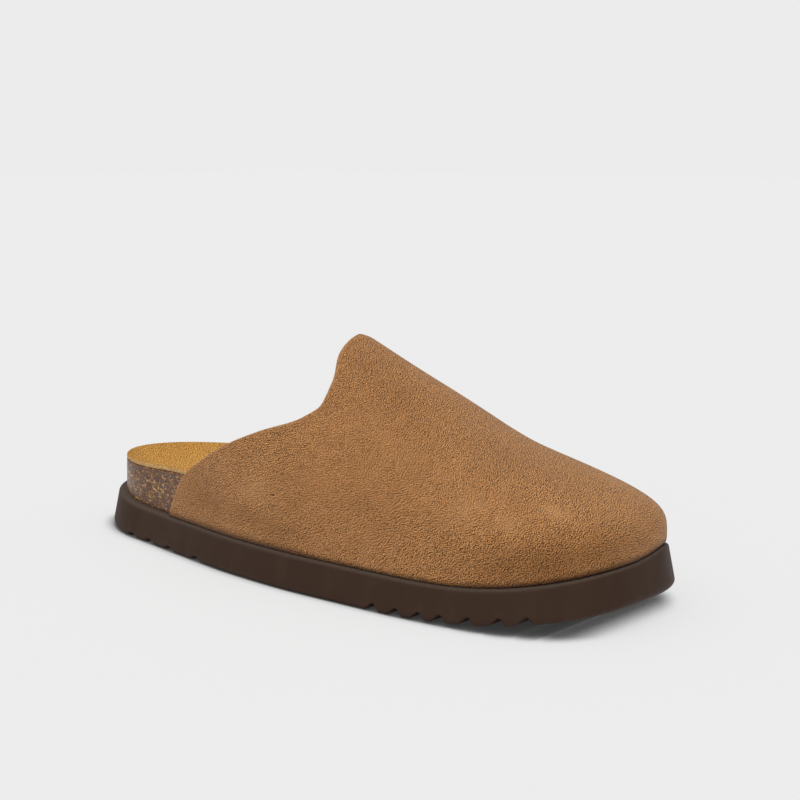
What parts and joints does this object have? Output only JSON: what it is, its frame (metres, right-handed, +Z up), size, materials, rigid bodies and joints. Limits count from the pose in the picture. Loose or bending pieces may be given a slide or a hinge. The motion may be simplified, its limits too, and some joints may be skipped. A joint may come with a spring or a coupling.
{
  "type": "clog",
  "caption": "Slip-on suede clog with a closed toe and bare heel, on a contoured cork footbed with a suede insole and a grooved foam-rubber outsole",
  "frame": {"origin": "on the floor, under the centre of the bounding box", "axes": "+X towards the toe, +Y towards the inner side of the foot, +Z up"},
  "size_m": [0.284, 0.1064, 0.0971],
  "materials": {
    "outsole": "matte dark brown foam rubber with a faint sheen",
    "footbed": "satin-coated granulated cork",
    "insole": "ochre suede with a pale cut edge",
    "upper": "tan-brown napped suede with raw-cut edges"
  },
  "bodies": {
    "root": {"outsole": "outsole", "footbed": "footbed", "insole": "insole", "upper": "upper"}
  },
  "joints": []
}
